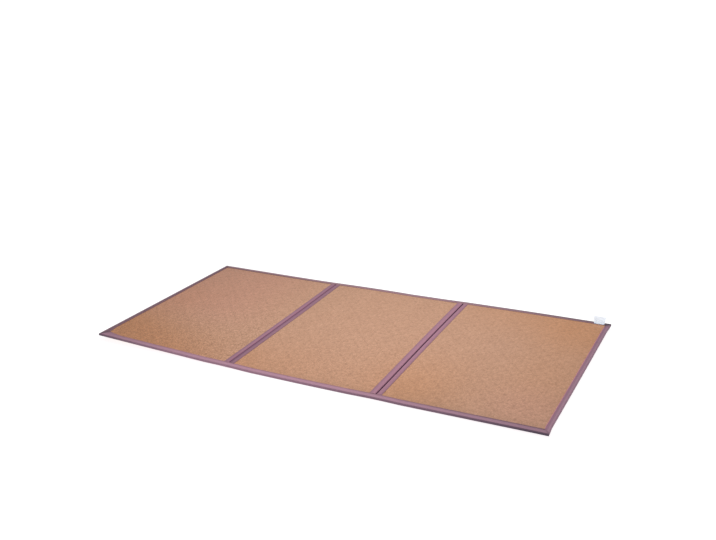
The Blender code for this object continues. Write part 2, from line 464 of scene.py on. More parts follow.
weave = {
    "diamond": (0.0513, 0.0567),   # width along the mat, height across it
    "cords": 14,                   # cords in one diamond's width, and rows in its height
    "lines": ((0, 0.3, 0.7), (0.5,)),   # a valley and two shoulders of a cord, the middle of a row
    "depth": 0.0008,               # from the cord tops to the gaps
    "face": 0.0094,                # height of the part's woven face
    "crown": 0.0002,               # cord tops stand this far over it
    "pressed": 0.00055,            # how far the edge is pressed down by the binding
    "pressedReach": 0.009,
    "uneven": 0.00022,
    "unevenReach": 0.030,
    "nearest": (0.0004, 0.0006),   # no column or row of the mesh lies closer to the edge
    "light": (0.750, 0.432, 0.286, 1),
    "dark": (0.408, 0.214, 0.130, 1),
    # painted shade: a darker, more saturated tint where the light and its sheen fall off, one for each panel
    "ochreShade": {1: (0.550, 0.250, 0.120, 1), 2: (0.620, 0.262, 0.105, 1), 3: (0.665, 0.275, 0.090, 1)},
    "rose": (0.630, 0.306, 0.216, 1),
    "gap": (0.170, 0.085, 0.050, 1),
    "line": 0.02,                  # how much darker the diamonds' outlines are
    "knot": 0.22,
    "fibres": 2400,                # scales of the noises
    "speckles": 96,
    "drift": 15,
    "tones": (0.12, 0.78, 0.26),   # weights of the cords' own tones, the speckles and the drift
    "fleck": {1: 0.55, 2: 0.32, 3: 0.28},   # how much the crossings differ from each other
    "fleckFront": 1.6,             # times as much at the front, and at the back
    "fleckBack": 0.4,
    "ochreShadeShares": (0.88, 0.26),   # most at the front left and the back right corner
    "ochreShadeSpots": [(0.36, (0.38, -0.36), (0.20, 0.25)), (0.56, (-0.85, 0), (0.15, 0.20))],
    "frontOchreShade": 0.28,            # along the middle panel's front
    "frontReach": 0.25,
    "rightOchreShade": 0.15,
    "rosyShare": 0.55,
    "rosySpots": [(0.35, (0.80, -0.32), (0.15, 0.15))],
    # painted shade on the weave beside the bindings
    "bindingShade": 0.14,
    "bindingShadeReach": 0.022,
    "bindingShadeSpot": (0.8, (0.45, 0), (0.16, 0.17)),   # from the front binding
    "run": 0.07,                   # painted shade on the weave beside the right end and the back left bindings
    "sideShadeReach": (0.030, 0.010),
    "origins": {1: (-0.6, 0.0), 2: (0.0, 0.0), 3: (0.6, 0.0)},
}
weave["pitches"] = [size / weave["cords"] for size in weave["diamond"]]


def makeWeaveMaterial(number):
    material, tree, shader = newMaterial(f"wovenCord{number}")
    place = attribute(tree, "cordPlace", "Vector")
    cord, row = weave["pitches"]
    cords = useGroup(tree, diamondTwill, Place=place, Cord=cord, Row=row, Half=weave["cords"] / 2)
    # fibres run along the cord that lies on top
    lengthways = noise(tree, scaled(tree, place, (1, 0.06, 0)), weave["fibres"])
    crossways = noise(tree, scaled(tree, place, (0.06, 1, 0)), weave["fibres"])
    over = cords["Over"]
    fibres = times(tree, over, lengthways)
    under = times(tree, minus(tree, 1, over), crossways)
    fibres = maths(tree, "ADD", fibres, under)
    speckle = noise(tree, scaled(tree, place, (1, 0.8, 0)), weave["speckles"])
    drift = noise(tree, scaled(tree, place, (1, 0.7, 0)), weave["drift"], 3)
    fleck = minus(tree, cords["Fleck"], 0.5)
    fleck = plus(tree, 0.5, fleck, attribute(tree, "fleckShare", "Fac"))
    weights = (*weave["tones"], weave["fleck"][number])
    tone = blended(tree, list(zip((cords["Tone"], speckle, drift, fleck), weights)))
    colour = mixColour(tree, tone, weave["dark"], weave["light"])
    # the ochre tint is painted shade, darker and more saturated where the light and its sheen fall off; the
    # rose tint is the cloth's own
    tintShares = separated(tree, attribute(tree, "tintAndShade", "Vector"))
    for share, tint in (("X", weave["ochreShade"][number]), ("Y", weave["rose"])):
        tinted = mixColour(tree, tone, shifted(tint, 0.75), shifted(tint, 1.25))
        colour = mixColour(tree, tintShares[share], colour, tinted)
    fibreTone = times(tree, ramp(tree, fibres, 0.55, 0.30), 0.18)
    # painted shade in the gaps between the cords and beside the bindings; the outlines, knots and fibres are
    # the weave's own darker tone
    darker = [tintShares["Z"], fibreTone]
    for part, share in (("Line", weave["line"]), ("Knot", weave["knot"]), ("Gap", 0.45)):
        darker.append(times(tree, cords[part], share))
    for share in darker:
        colour = mixColour(tree, share, colour, weave["gap"])
    rough = plus(tree, plus(tree, 0.50, cords["Gap"], 0.35), fibreTone, 0.6)
    height = plus(tree, cords["Height"], fibres, 0.20)
    looks = {"Base Color": colour, "Roughness": rough, "Specular IOR Level": 0.32}
    setInputs(tree, shader, {**looks, "Normal": bump(tree, height, 0.0006)})
    return material


def panelSides(number):
    # outer faces and flaps of a panel's left and right binding
    leftName = "leftEnd" if number == 1 else f"fold{number - 1}Right"
    rightName = "rightEnd" if number == mat["panels"] else f"fold{number}Left"
    leftFace = mat["left"] if number == 1 else foldX[number - 1] + mat["foldGap"] / 2
    rightFace = mat["right"] if number == mat["panels"] else foldX[number] - mat["foldGap"] / 2
    return leftFace, flaps[leftName], rightFace, flaps[rightName]


def splitCount(steps):
    # cells and parts of a cell that hold at least this many steps, with the fewest to spare
    choices = [(-(-steps // parts), parts) for parts in range(6, 11)]
    return min(choices, key=lambda choice: (choice[0] * choice[1] - steps, -choice[1]))


def meshLines(low, high, origin, axis):
    pitch, nearest = weave["pitches"][axis], weave["nearest"][axis]
    cells = range(int((low - origin) // pitch) - 1, int((high - origin) // pitch) + 2)
    lines = [origin + (cell + share) * pitch for cell in cells for share in weave["lines"][axis]]
    return [low, *[line for line in lines if low + nearest < line < high - nearest], high]


def padded(lines, steps):
    # spare lines go between the last two
    spare = steps + 1 - len(lines)
    before, last = lines[-2:]
    extra = [before + (last - before) * (step + 1) / (spare + 1) for step in range(spare)]
    return np.array(lines[:-1] + extra + [last])


def turnBack(values, half):
    return half - abs(values % (2 * half) - half)


def weaveRelief(x, y, number):
    # the same cords as in the material: 0 at their tops, -1 in the gaps
    half = weave["cords"] / 2
    starts = zip((x, y), weave["origins"][number], weave["pitches"])
    places = [(value - origin) / pitch for value, origin, pitch in starts]
    cells = [np.floor(place + 1e-4) for place in places]
    turned = [turnBack(cell, half) for cell in cells]
    exact = [turnBack(place - 0.5, half) for place in places]
    fromMiddle = [np.clip(abs(place - cell - 0.5) * 2, 0, 1) for place, cell in zip(places, cells)]
    rounds = [twill["round"] * (1 - distance ** twill["power"]) for distance in fromMiddle]
    cord = rounds[0] + twill["lift"] * np.cos((abs(turned[0] + exact[1] - half) - 1.5) * pi / 2)
    row = rounds[1] - twill["lift"] * np.cos((abs(exact[0] + turned[1] - half) - 1.5) * pi / 2)
    return np.maximum(cord, row) - twill["lift"] - twill["round"]


def spot(x, y, middle, reach):
    return np.exp(-(((x - middle[0]) / reach[0]) ** 2) - ((y - middle[1]) / reach[1]) ** 2)


def tintAndShade(x, y, number):
    # shares of the ochre painted shade, the rose tint and the painted shade beside the bindings at each place
    ochreShade = np.where(x < 0, *weave["ochreShadeShares"]) * smooth((x * y - 0.04) / 0.24)
    rosy = weave["rosyShare"] * smooth((-0.25 - x) / 0.40) * smooth((y + 0.30) / 0.35)
    ochreShade = ochreShade + weave["rightOchreShade"] * smooth((x - 0.55) / 0.25) * smooth((y + 0.40) / 0.3)
    fromFront = y - mat["front"] - flaps["front"]
    if number == 2:
        nearFront = np.exp(-(((y - mat["front"]) / weave["frontReach"]) ** 2))
        ochreShade = ochreShade + weave["frontOchreShade"] * nearFront * np.clip((0.30 - x) / 0.4, 0, 1)
    for share, middle, reach in weave["ochreShadeSpots"]:
        ochreShade = ochreShade + share * spot(x, y, middle, reach)
    for share, middle, reach in weave["rosySpots"]:
        rosy = rosy + share * spot(x, y, middle, reach)
    share, middle, reach = weave["bindingShadeSpot"]
    # painted shade: the weave is darker beside the front binding, the right end and the back left
    bindingShade = weave["bindingShade"] * np.exp(-fromFront / weave["bindingShadeReach"]) * smooth((x + 0.45) / 0.6)
    bindingShade = bindingShade + share * weave["bindingShade"] * spot(x, fromFront, middle, reach)
    fromRight = mat["right"] - flaps["rightEnd"] - x
    fromBack = mat["back"] - flaps["back"] - y
    endReach, backReach = weave["sideShadeReach"]
    bindingShade = bindingShade + weave["run"] * smooth(fromRight / 0.008) * np.exp(-fromRight / endReach)
    bindingShade = bindingShade + weave["run"] * np.exp(-fromBack / backReach) * smooth((-0.20 - x) / 0.2)
    return ochreShade, rosy, np.clip(bindingShade, 0, 1)


def makePanel(number, name, node):
    leftFace, leftFlap, rightFace, rightFlap = panelSides(number)
    rim = mat["cloth"] + mat["seat"]
    low = (leftFace + rim, mat["front"] + rim)
    high = (rightFace - rim, mat["back"] - rim)
    fieldLow = (leftFace + leftFlap + mat["seat"], mat["front"] + flaps["front"] + mat["seat"])
    fieldHigh = (rightFace - rightFlap - mat["seat"], mat["back"] - flaps["back"] - mat["seat"])
    origin = weave["origins"][number]
    lines = [meshLines(fieldLow[axis], fieldHigh[axis], origin[axis], axis) for axis in (0, 1)]
    counts = [splitCount(len(line) - 1) for line in lines]
    panel = newPrimitive(bpy.ops.mesh.primitive_cube_add, name, size=1)
    editMode(True)
    for axis, (cells, _) in enumerate(counts):
        cutAlong(panel, axis, cells + 1)
    edges = [0.5 - 0.75 / (cells + 2) for cells, _ in counts]

    def inField(face):
        middle = face.calc_center_median()
        return face.normal.z * side > 0.9 and abs(middle.x) < edges[0] and abs(middle.y) < edges[1]

    for side in (-1, 1):
        select(panel, "FACE", inField)
        bpy.ops.mesh.extrude_region_move(TRANSFORM_OT_translate={"value": (0, 0, side)})
    for axis, (_, parts) in enumerate(counts):
        cutAlong(panel, axis, parts - 1, above=1)
    editMode(False)
    places = points(panel)
    onTop = places[:, 2] > 1
    onBottom = places[:, 2] < -1
    for axis in (0, 1):
        before = np.unique(np.round(places[onTop, axis], 5))
        after = padded(lines[axis], len(before) - 1)
        before = np.concatenate([[-0.5], before, [0.5]])
        after = np.concatenate([[low[axis]], after, [high[axis]]])
        places[:, axis] = np.interp(places[:, axis], before, after)
    x, y = places[:, 0], places[:, 1]
    inside = np.min([x - fieldLow[0], fieldHigh[0] - x, y - fieldLow[1], fieldHigh[1] - y], axis=0)
    pressed = weave["pressed"] * (1 - smooth(inside / weave["pressedReach"]))
    uneven = np.sin(x * 23 + 1.3) * np.sin(y * 17 + 0.4) + 0.6 * np.sin(x * 51 + y * 37)
    relief = weave["crown"] + weave["depth"] * weaveRelief(x, y, number)
    top = weave["face"] + relief - pressed + weave["uneven"] * uneven * smooth(inside / weave["unevenReach"])
    places[:, 2] = np.where(places[:, 2] > 0, mat["thick"] - rim, rim)
    places[onTop, 2] = top[onTop]
    places[onBottom, 2] = 0
    addLayer(panel, "cordPlace", x - origin[0], y - origin[1])
    addLayer(panel, "tintAndShade", *tintAndShade(x, y, number))
    back = (y - mat["front"]) / matWidth
    addLayer(panel, "fleckShare", weave["fleckFront"] + (weave["fleckBack"] - weave["fleckFront"]) * back)
    setPoints(panel, laid(x, y, places[:, 2]))
    finishPiece(panel, makeWeaveMaterial(number), [node], angle=60)
    print(name, "made:", len(panel.data.polygons), "faces")


panelNames = ("left", "middle", "right")
for number, side in enumerate(panelNames, 1):
    makePanel(number, f"woven_panel_{side}", f"panel_{side}")


# cloth bindings

tape = {
    "step": 0.0025,            # spacing of the cross sections, half a stitch
    "stitchPitch": 0.0050,
    "stitchIn": 0.0036,        # seam line, in from the flap's inner edge
    "bySeam": (-0.0024, -0.0010, 0, 0.0010),   # points of the cross section beside the seam
    "lip": 0.0007,             # the inner edge is rounded from here
    "groove": 0.00035,
    "grooveWidth": 0.0012,
    "pucker": 0.00010,
    "puckerReach": 0.0030,
    "drag": 0.00022,           # uneven wrinkles that run in from the edge
    "dragSpacing": 0.020,
    "edgeWander": 0.0006,      # the inner edge isn't cut straight
    "edgeSpacing": 0.050,
    "crown": 0.00065,          # the cloth stands up over the board's edge
    "inside": (-0.0001, 0.0005),   # its inner side follows no further than this
    "thread": 0.00042,         # of the cloth's weave
    "dragStart": 0.002,        # the wrinkles run from here to the seam
    "ease": 0.006,
    "swell": 0.00012,
    "swellSpacing": 0.030,
    "patchReach": 0.080,       # how far from a corner its wider fold starts
    "patchStart": 0.004,
    "patchLift": 0.03,         # it also lies a little higher, as a share of its reach
    "tucked": 0.012,           # a fold's tapes flatten over this length to go under the long ones
    # where the painted shade changes, as start and length: from the outer face, then from the seam
    "faceEnd": (0.0005, 0.0025),
    "rollEnd": (0.0070, 0.004),
    "marginStart": (-0.0035, 0.003),
    "rimStart": (0.0014, 0.0014),
    "dyeStart": (-0.007, 0.009),
    "cornerStart": 0.004,
    "valley": (0.0090, 0.004),   # in a fold the outer face counts from here down
    "colour": (0.540, 0.295, 0.386, 1),
    "shade": (0.415, 0.222, 0.298, 1),
    "deep": (0.15, 0.20, 0.24, 1),   # the darkest that the painted shade makes the cloth, times its own colour
    "marginDye": (1.07, 0.94, 0.90),  # the margins are rosier, as factors of the cloth's colour
    "valleyDye": (1.46, 0.68, 1.18),  # and the faces in the folds are plum
}

# painted shade of each strip, 0 to 1, at even steps along it: the outer face, turned from the light,
# the roll over the edge, the body, the margin between seam and inner edge, the seam line, and the
# corner at each end; rim is the inner edge where it shows paler, and patches are how much further in
# the folded corners reach; dye and marginDye are factors of the cloth's colour; one value counts for the
# whole length
foldCloth = {"dye": (1.07, 0.94, 0.95), "marginDye": (1, 1, 1)}
tapeShadeAndDye = {
    "front": {
        "face": (0.82, 0.36, 0.34, 0.54, 0.70, 0.98),
        "roll": (0.18, 0.00, 0.00, 0.06, 0.14, 0.30),
        "body": (0.28, 0.07, 0.02, 0.08, 0.28, 0.38),
        "margin": (0.36, 0.22, 0.33, 0.38, 0.64, 0.80),
        "seam": (0.42, 0.40, 0.46, 0.50, 0.62, 0.80),
        "corners": (0.75, 0.40),
        "cornerReaches": (0.010, 0.006),
        "patches": (0.0100, 0),
    },
    "back": {
        "face": (0.60, 0.60, 0.60, 0.60, 0.66, 0.78),
        "roll": (0.22, 0.16, 0.42, 0.43, 0.50, 0.66),
        "body": (0.30, 0.26, 0.33, 0.34, 0.50, 0.78),
        "margin": (0.58, 0.58, 0.26, 0.24, 0.32, 0.36),
        "seam": (0.76, 0.76, 0.45, 0.45, 0.50, 0.58),
        "corners": (0.45, 0.92),
        "cornerReaches": (0.010, 0.022),
        "dye": (0.94, 1.03, 0.90),
    },
    "leftEnd": {
        "face": (0.85, 0.75, 0.75),
        "roll": (0.48, 0.46, 0.44),
        "body": (0.75, 0.74, 0.76),
        "margin": (0.58, 0.62, 0.66),
        "seam": (0.62,),
        "corners": (0.80, 0.60),
        "patches": (0.0080, 0),
        "dye": (1.02, 0.99, 0.91),
    },
    "rightEnd": {
        "face": (0.42, 0.42, 0.48),
        "roll": (0.18, 0.24, 0.30),
        "body": (0.48, 0.50, 0.56),
        "margin": (0.44, 0.44, 0.48),
        "seam": (0.44, 0.44, 0.48),
        "rim": (0.00,),
        "corners": (0.40, 0.88),
        "cornerReaches": (0.006, 0.036),
        "marginDye": (1.20, 0.95, 0.99),
    },
    "fold1Left": {
        **foldCloth,
        "face": (0.90, 0.85, 0.85),
        "roll": (0.33, 0.31, 0.43),
        "body": (0.43, 0.41, 0.44),
        "margin": (0.46,),
        "seam": (0.55,),
    },
    "fold1Right": {
        **foldCloth,
        "face": (0.90, 0.85, 0.85),
        "roll": (0.66, 0.57, 0.50),
        "body": (0.44, 0.43, 0.48),
        "margin": (0.49, 0.50, 0.49),
        "seam": (0.57,),
    },
    "fold2Left": {
        **foldCloth,
        "face": (0.74, 0.68, 0.60),
        "roll": (0.20, 0.22, 0.26),
        "body": (0.28, 0.28, 0.32),
        "margin": (0.36,),
        "seam": (0.50,),
    },
    "fold2Right": {
        **foldCloth,
        "face": (0.86, 0.72, 0.74),
        "roll": (0.30, 0.24, 0.34),
        "body": (0.29, 0.28, 0.32),
        "margin": (0.36,),
        "seam": (0.50,),
    },
}


def makeTapeMaterial(name, colour, shade, pitch):
    material, tree, shader = newMaterial(name)
    place = attribute(tree, "clothPlace", "Vector")
    paintedShade = attribute(tree, "paintedShade", "Fac")
    cloth = useGroup(tree, plainCloth, Place=place, Pitch=pitch)
    drift = noise(tree, place, 28, 3)
    fuzz = noise(tree, place, 900)
    tone = plus(tree, times(tree, cloth["Tone"], 0.35), drift, 0.55)
    tone = plus(tree, tone, fuzz, 0.15, clamp=True)
    base = mixColour(tree, tone, shade, colour)
    base = mixColour(tree, 1.0, base, attribute(tree, "dye", "Color"), blend="MULTIPLY")
    # the cloth mixes toward its deep tone by the painted shade
    deep = mixColour(tree, 1.0, base, tape["deep"], blend="MULTIPLY")
    base = mixColour(tree, paintedShade, base, deep)
    looks = {"Base Color": base, "Roughness": plus(tree, 0.72, fuzz, 0.2), "Specular IOR Level": 0.25}
    looks["Normal"] = bump(tree, plus(tree, cloth["Height"], fuzz, 0.5), 0.00012)
    setInputs(tree, shader, {**looks, "Sheen Weight": 0.12, "Sheen Roughness": 0.5})
    return material


tapeCloth = makeTapeMaterial("lilacTape", tape["colour"], tape["shade"], tape["thread"])


def roundCorner(centre, radius, start, end, steps):
    turns = np.linspace(start, end, steps + 1)
    return [(centre[0] - radius * cos(turn), centre[1] + radius * sin(turn)) for turn in turns]


def tapeProfile(flap):
    # from the bottom flap's inner edge round the outside to the top flap's, and back inside
    low, high = mat["edgeRound"], mat["thick"] - mat["edgeRound"]
    thick, cloth = mat["thick"], mat["cloth"]
    seam = flap - tape["stitchIn"]
    outside = [(flap, 0.0), (seam, 0.0), (flap * 0.5, 0.0)]
    outside += roundCorner((low, low), low, -pi / 2, 0, 3)
    outside += roundCorner((low, high), low, 0, pi / 2, 4)
    middle = low + (seam - low) * 0.55
    outside += [(low + (middle - low) * 0.5, thick), (middle, thick)]
    outside += [(seam + aside, thick) for aside in tape["bySeam"]]
    outside += [(flap - tape["lip"], thick), (flap, thick - tape["lip"] / 2), (flap, thick - cloth)]
    inside = [(seam, thick - cloth), (middle, thick - cloth)]
    inside += roundCorner((low, high), low - cloth, pi / 2, 0, 2)
    inside += roundCorner((low, low), low - cloth, 0, -pi / 2, 2)
    inside += [(seam, cloth), (flap, cloth)]
    return np.array(outside + inside), len(outside)


def sweepProfile(name, profile, length, step):
    # a prism along X whose cross section is the profile, cut into steps
    strip = newRod(name, len(profile), 1, 1)
    places = points(strip)
    turns = np.arctan2(places[:, 2], places[:, 1])
    order = np.round((turns % (2 * pi)) / (2 * pi) * len(profile)).astype(int) % len(profile)
    ends = places[:, 0] > 0
    places[:, 1:] = profile[order]
    places[:, 0] = np.where(ends, length, 0)
    setPoints(strip, places)
    steps = max(4, round(length / step))
    editMode(True)
    first = max(1, round(steps**0.5))
    second = max(1, round(steps / first))
    for cuts in (first - 1, second - 1):
        cutAlong(strip, 0, max(1, cuts))
    faceOut()
    editMode(False)
    return strip


def nearestProfile(places, profile):
    index = np.zeros(len(places), int)
    for start in range(0, len(places), 20000):
        part = places[start : start + 20000, None, 1:] - profile[None]
        index[start : start + 20000] = (part**2).sum(-1).argmin(1)
    return index


def patchOut(along, length, side):
    # extra reach of the inner edge beside each end
    ends = zip((along, length - along), tapeShadeAndDye[side].get("patches", (0, 0)))
    return sum(reach * np.clip(1 - end / tape["patchReach"], 0, 1) ** 1.5 for end, reach in ends)


def paintTapeShade(side, along, length, section, fromSeam, atFold):
    # painted shade at each point, and how much of the outer face's look it has
    tones, share = tapeShadeAndDye[side], along / length
    fromFace, level = section.T
    parts = [part for part in ("face", "roll", "body", "margin", "seam", "rim") if part in tones]
    dark = {part: np.interp(share, np.linspace(0, 1, len(tones[part])), tones[part]) for part in parts}
    # painted shade on the outer face, which faces away from the light, and in a fold on the faces down in the
    # gap
    onFace = 1 - grown(fromFace, *tape["faceEnd"])
    if atFold:
        onFace = smooth((tape["valley"][0] - level) / tape["valley"][1])
    paintedShade = dark["roll"] + (dark["body"] - dark["roll"]) * grown(fromFace, *tape["rollEnd"])
    # the outer face is painted darker towards its bottom, near the floor
    lower = 1.15 - 0.3 * level / mat["thick"]
    paintedShade = paintedShade + (np.minimum(dark["face"] * lower, 1) - paintedShade) * onFace
    paintedShade = paintedShade + (dark["margin"] - paintedShade) * grown(fromSeam, *tape["marginStart"])
    # painted shade in the seam's groove
    paintedShade = np.maximum(paintedShade, dark["seam"] * np.exp(-((fromSeam / tape["grooveWidth"]) ** 2)))
    # painted shade along the flap's inner edge, where it steps down onto the weave
    cut = smooth((fromFace - flaps[side] + 0.0006) / 0.0006)
    paintedShade = np.maximum(paintedShade, (dark["margin"] + 0.3) * cut)
    if "rim" in dark:
        paintedShade = paintedShade + (dark["rim"] - paintedShade) * grown(fromSeam, *tape["rimStart"])
    # painted shade in the folded corners
    reaches = tones.get("cornerReaches", (0.010, 0.010))
    for end, most, reach in zip((along, length - along), tones.get("corners", (0, 0)), reaches):
        paintedShade = np.maximum(paintedShade, most * (1 - grown(end, tape["cornerStart"], reach)))
        paintedShade = np.maximum(paintedShade, min(1, 1.4 * most) * np.exp(-((end / 0.0015) ** 2)))
    return paintedShade, onFace


def makeTape(name, node, side, place, length, seed, atFold):
    # place(share along, distance in) gives x and y
    flap, tones = flaps[side], tapeShadeAndDye[side]
    profile, outer = tapeProfile(flap)
    strip = sweepProfile(name, profile, length, tape["step"])
    places = points(strip)
    index = nearestProfile(places, profile)
    steps = np.linalg.norm(np.diff(profile, axis=0), axis=1)
    arc = np.concatenate([[0], np.cumsum(steps)])[index]
    along, inward, height = places[:, 0], places[:, 1], places[:, 2]
    onTop = height > mat["thick"] / 2
    seam = flap - tape["stitchIn"]
    fromSeam = inward - seam
    sign = np.where(onTop, 1, -1)
    # the seam pulls the cloth in, and it swells between the stitches
    groove = tape["groove"] * np.exp(-((fromSeam / tape["grooveWidth"]) ** 2))
    near = np.exp(-((fromSeam / tape["puckerReach"]) ** 2))
    pucker = tape["pucker"] * near * np.cos(2 * pi * along / tape["stitchPitch"])
    body = smooth((inward - tape["dragStart"]) / tape["ease"]) * smooth((seam - inward) / tape["ease"])
    drag = tape["drag"] * wander(along + fromSeam * 0.6, tape["dragSpacing"], seed) * body
    crown = tape["crown"] * np.sin(pi * np.clip(inward / seam, 0, 1) ** 0.8) ** 1.3
    if atFold:
        crown = crown * smooth(np.minimum(along, length - along) / tape["tucked"])
    lift = crown + pucker + drag - groove
    lift = np.where(onTop, lift, np.minimum(lift, 0))
    inside = index >= outer
    lift = np.where(inside, np.clip(lift, *tape["inside"]), lift)
    height = height + lift * sign * (inward > 0.0025)
    edge = smooth((inward - flap + tape["ease"]) / tape["ease"])
    wavy = 0.5 + 0.5 * wander(along, tape["edgeSpacing"], seed + 1)
    inward = inward - tape["edgeWander"] * np.clip(wavy, 0, 1) * edge
    swell = wander(along, tape["swellSpacing"], seed + 2) * (profile[index, 0] < 0.0015)
    inward = inward - np.clip(swell, -1, 0 if atFold else 1) * tape["swell"]
    patch = patchOut(along, length, side) * onTop
    patch = patch * smooth((inward - tape["patchStart"]) / (seam - tape["patchStart"]))
    inward = inward + patch
    height = height + tape["patchLift"] * patch
    paintedShade, onFace = paintTapeShade(side, along, length, profile[index], fromSeam, atFold)
    x, y = place(along / length, inward)
    setPoints(strip, laid(x, y, height))
    addLayer(strip, "clothPlace", along, arc)
    addLayer(strip, "paintedShade", paintedShade)
    dye = np.ones((len(along), 3)) * tones.get("dye", 1)
    margin = grown(fromSeam, *tape["dyeStart"]) * onTop
    masks = [(margin, tones.get("marginDye", tape["marginDye"]))]
    if atFold:
        masks.append((onFace, tape["valleyDye"]))
    for mask, factors in masks:
        dye = dye * (1 + mask[:, None] * (np.array(factors) - 1))
    addLayer(strip, "dye", *dye.T)
    finishPiece(strip, tapeCloth, [node])
    return strip


# stitches

stitch = {
    "length": 0.0037,
    "radius": 0.00040,
    "sides": 5,
    "arch": 0.00030,
    "sink": 0.00035,
    "askew": 2.5,                  # degrees that the stitches turn either way
    "aside": 0.00010,
    "atCorners": (0.003, 0.003),   # a row starts and ends this far from its tape's ends
    "atFolds": (0.001, 0.001),
    "colour": (0.470, 0.285, 0.350, 1),
    "shade": (0.330, 0.190, 0.240, 1),
}


def makeThreadMaterial():
    material, tree, shader = newMaterial("sewingThread")
    coordinates = tree.nodes.new("ShaderNodeTexCoord")
    strands = noise(tree, coordinates.outputs["Object"], 3500)
    longer = noise(tree, coordinates.outputs["Object"], 60)
    tone = plus(tree, times(tree, strands, 0.6), longer, 0.4)
    looks = {"Base Color": mixColour(tree, tone, stitch["shade"], stitch["colour"])}
    looks["Roughness"] = plus(tree, 0.45, strands, 0.25)
    setInputs(tree, shader, {**looks, "Normal": bump(tree, strands, 0.00008)})
    return material


sewingThread = makeThreadMaterial()


def makeStitches(name, side, place, length, seed, margins):
    seam = flaps[side] - tape["stitchIn"]
    first, last = margins
    count = int((length - first - last) / tape["stitchPitch"])
    row = newRod(name, stitch["sides"], stitch["radius"], stitch["length"])
    editMode(True)
    cutAlong(row, 0, 2)
    editMode(False)
    places = points(row)
    share = abs(places[:, 0]) / (stitch["length"] / 2)
    places[:, 1:] *= (1 - 0.45 * share**3)[:, None]
    places[:, 2] += stitch["arch"] * (1 - share**2) - stitch["sink"] * share**4
    setPoints(row, places)
    each = len(places)
    array = row.modifiers.new("row", "ARRAY")
    array.count = 2 * count
    array.use_relative_offset = False
    array.use_constant_offset = True
    array.constant_offset_displace = (1, 0, 0)
    applyModifier(row, array)
    places = points(row)
    number = np.arange(len(places)) // each
    places[:, 0] -= number
    below = number >= count
    rng = np.random.default_rng(seed)
    turn = rng.normal(0, radians(stitch["askew"]), 2 * count)[number]
    aside = rng.normal(0, stitch["aside"], 2 * count)[number]
    along = places[:, 0] * np.cos(turn) - places[:, 1] * np.sin(turn)
    across = places[:, 0] * np.sin(turn) + places[:, 1] * np.cos(turn) + aside
    along = along + first + (number % count + 0.5) * tape["stitchPitch"]
    across = np.where(below, -across, across)
    level = np.where(below, stitch["radius"] + 0.00002 - places[:, 2] * 0.5, 0)
    top = mat["thick"] - tape["groove"] + stitch["radius"] * 0.35
    height = np.where(below, level, top + places[:, 2])
    patch = patchOut(along, length, side) * ~below
    height = height + tape["patchLift"] * patch
    x, y = place(along / length, seam + across + patch)
    setPoints(row, laid(x, y, height))
    editMode(True)
    faceOut()
    editMode(False)
    finishPiece(row, sewingThread)
    return row


def stripPlace(side, outer, inward, ends, mitres=(0, 0), lengthways=False):
    # mitres are the flaps of the strips that meet its ends
    def place(share, distance):
        start = ends[0] + distance * mitres[0] / flaps[side]
        end = ends[1] - distance * mitres[1] / flaps[side]
        along, across = start + (end - start) * share, outer + inward * distance
        return (along, across) if lengthways else (across, along)

    return place


def sewnTape(name, node, side, place, ends, seed, margins, atFold=False):
    length = ends[1] - ends[0]
    strip = makeTape(name, node, side, place, length, seed, atFold)
    row = makeStitches(name + "_stitches", side, place, length, seed + 50, margins)
    # the two flaps and the edge between them, less the corners' mitres
    area = 0.5 * sum(face.area for face in strip.data.polygons)
    print(name, "made:", len(strip.data.polygons), "faces, area", round(area, 4))


ends, mitres = (mat["left"] + mat["seat"], mat["right"] - mat["seat"]), (flaps["leftEnd"], flaps["rightEnd"])
for side, inward, seed in (("front", 1, 100), ("back", -1, 110)):
    place = stripPlace(side, mat[side], inward, ends, mitres, lengthways=True)
    sewnTape(f"{side}_binding", f"binding_{side}", side, place, ends, seed, stitch["atCorners"])
ends, mitres = (mat["front"], mat["back"]), (flaps["front"], flaps["back"])
for side, inward, seed in (("left", 1, 140), ("right", -1, 150)):
    place = stripPlace(f"{side}End", mat[side], inward, ends, mitres)
    names = (f"{side}_end_binding", f"binding_{side}_end", f"{side}End")
    sewnTape(*names, place, ends, seed, stitch["atCorners"])
ends = (mat["front"] + flaps["front"] + mat["seat"], mat["back"] - flaps["back"] - mat["seat"])
for fold in (1, 2):
    for side, inward, seed in (("left", -1, 180), ("right", 1, 190)):
        strip = f"fold{fold}{side.capitalize()}"
        place = stripPlace(strip, foldX[fold] + inward * mat["foldGap"] / 2, inward, ends)
        names = (f"fold_{fold}_tape_{side}", f"fold_{fold}_binding_{side}", strip)
        sewnTape(*names, place, ends, seed + fold * 20, stitch["atFolds"], atFold=True)


# hinge cloths in the folds

hinge = {
    "webTop": {1: 0.0075, 2: 0.0023},
    "leg": {1: -0.0055, 2: 0.0050},
    "step": 0.006,
    "sag": 0.0005,
    "colour": (0.225, 0.080, 0.168, 1),
    "shade": (0.148, 0.048, 0.108, 1),
}
plumCloth = makeTapeMaterial("plumCloth", hinge["colour"], hinge["shade"], 0.0005)


